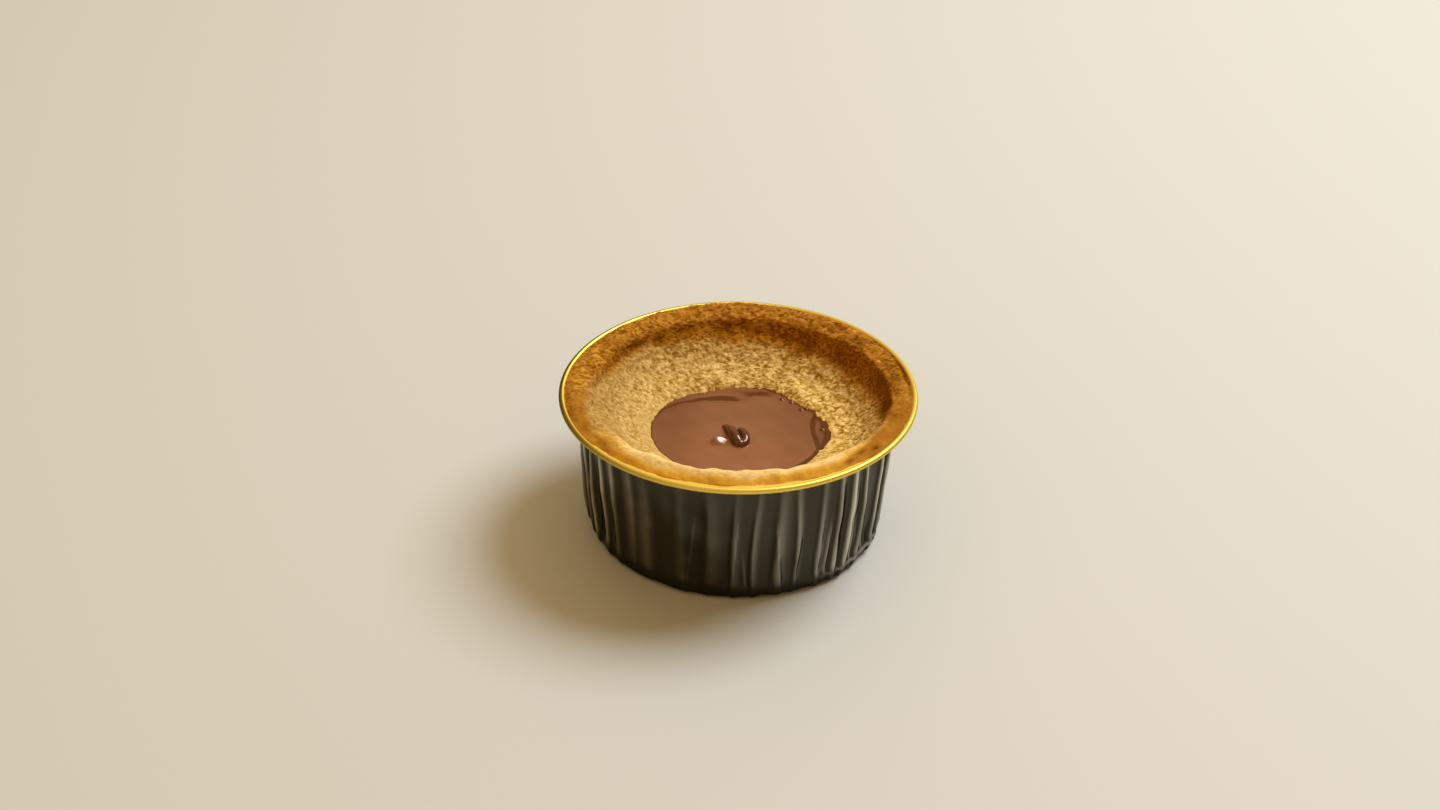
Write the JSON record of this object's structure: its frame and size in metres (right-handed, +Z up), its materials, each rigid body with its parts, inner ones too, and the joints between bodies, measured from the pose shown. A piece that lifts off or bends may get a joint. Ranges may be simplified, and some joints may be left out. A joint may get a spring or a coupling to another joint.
{
  "type": "molten cookie",
  "caption": "Molten cookie baked in a fluted black foil cup with a rolled gold rim; a browned lip falls to a crumb dish that holds glossy melted chocolate. Stands on its flat base.",
  "frame": {"origin": "on the floor, under the centre of the cup", "axes": "+Z up through the middle of the cup; -Y is the side that faces the camera in the picture"},
  "size_m": [0.085, 0.085, 0.0375],
  "materials": {
    "foil": "satin black lacquer outside, bright gold inside and on the rolled rim",
    "crumb": "matte baked crumb, browned on the lip",
    "chocolate": "glossy, melted and just set"
  },
  "bodies": {
    "root": {"foil_cup": "foil", "cookie": "crumb", "chocolate": "chocolate"}
  },
  "joints": []
}
